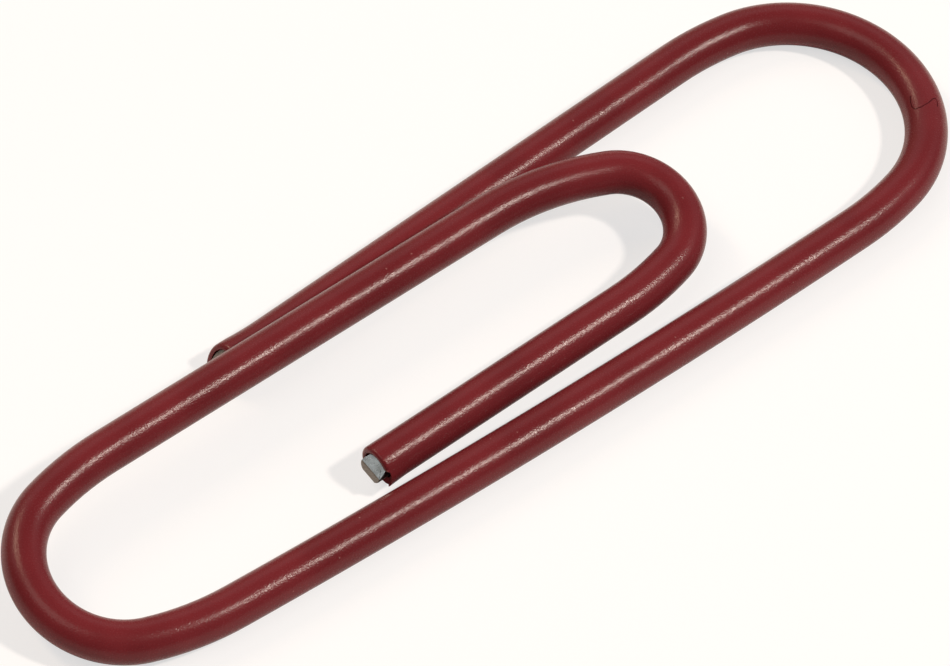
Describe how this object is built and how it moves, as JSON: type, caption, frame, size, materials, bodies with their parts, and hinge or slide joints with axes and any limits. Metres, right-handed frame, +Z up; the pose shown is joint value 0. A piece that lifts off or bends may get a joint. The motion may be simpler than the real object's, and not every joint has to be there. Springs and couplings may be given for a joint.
{
  "type": "paper clip",
  "caption": "Coated wire paper clip in nested round-ended loops, with a sprung inner tongue that lifts to hold sheets against the outer loop.",
  "frame": {"origin": "middle of the clip on the surface that it lies on", "axes": "+X along the clip towards the right bend, where sheets leave it; +Y from the front leg to the outer leg; +Z up, the side on which the tongue lies"},
  "size_m": [0.033, 0.0094, 0.0023],
  "materials": {
    "steel_wire": "bare drawn steel, sheared bright at the cut",
    "vinyl_coat": "dark red satin vinyl with a fine orange-peel surface"
  },
  "bodies": {
    "outer_loop": {"outer_loop_wire": "steel_wire", "outer_loop_coating": "vinyl_coat"},
    "tongue": {"tongue_wire": "steel_wire", "tongue_coating": "vinyl_coat"}
  },
  "joints": [
    {"name": "tongue_lift", "type": "hinge", "parent": "outer_loop", "child": "tongue", "pos_m": [-0.01587, -0.00087, 0.00108], "axis": [0.0005, -0.987, -0.1605], "range_deg": [0, 10], "stiffness_Nm_per_rad": 0.15, "springref_deg": -2.29}
  ]
}
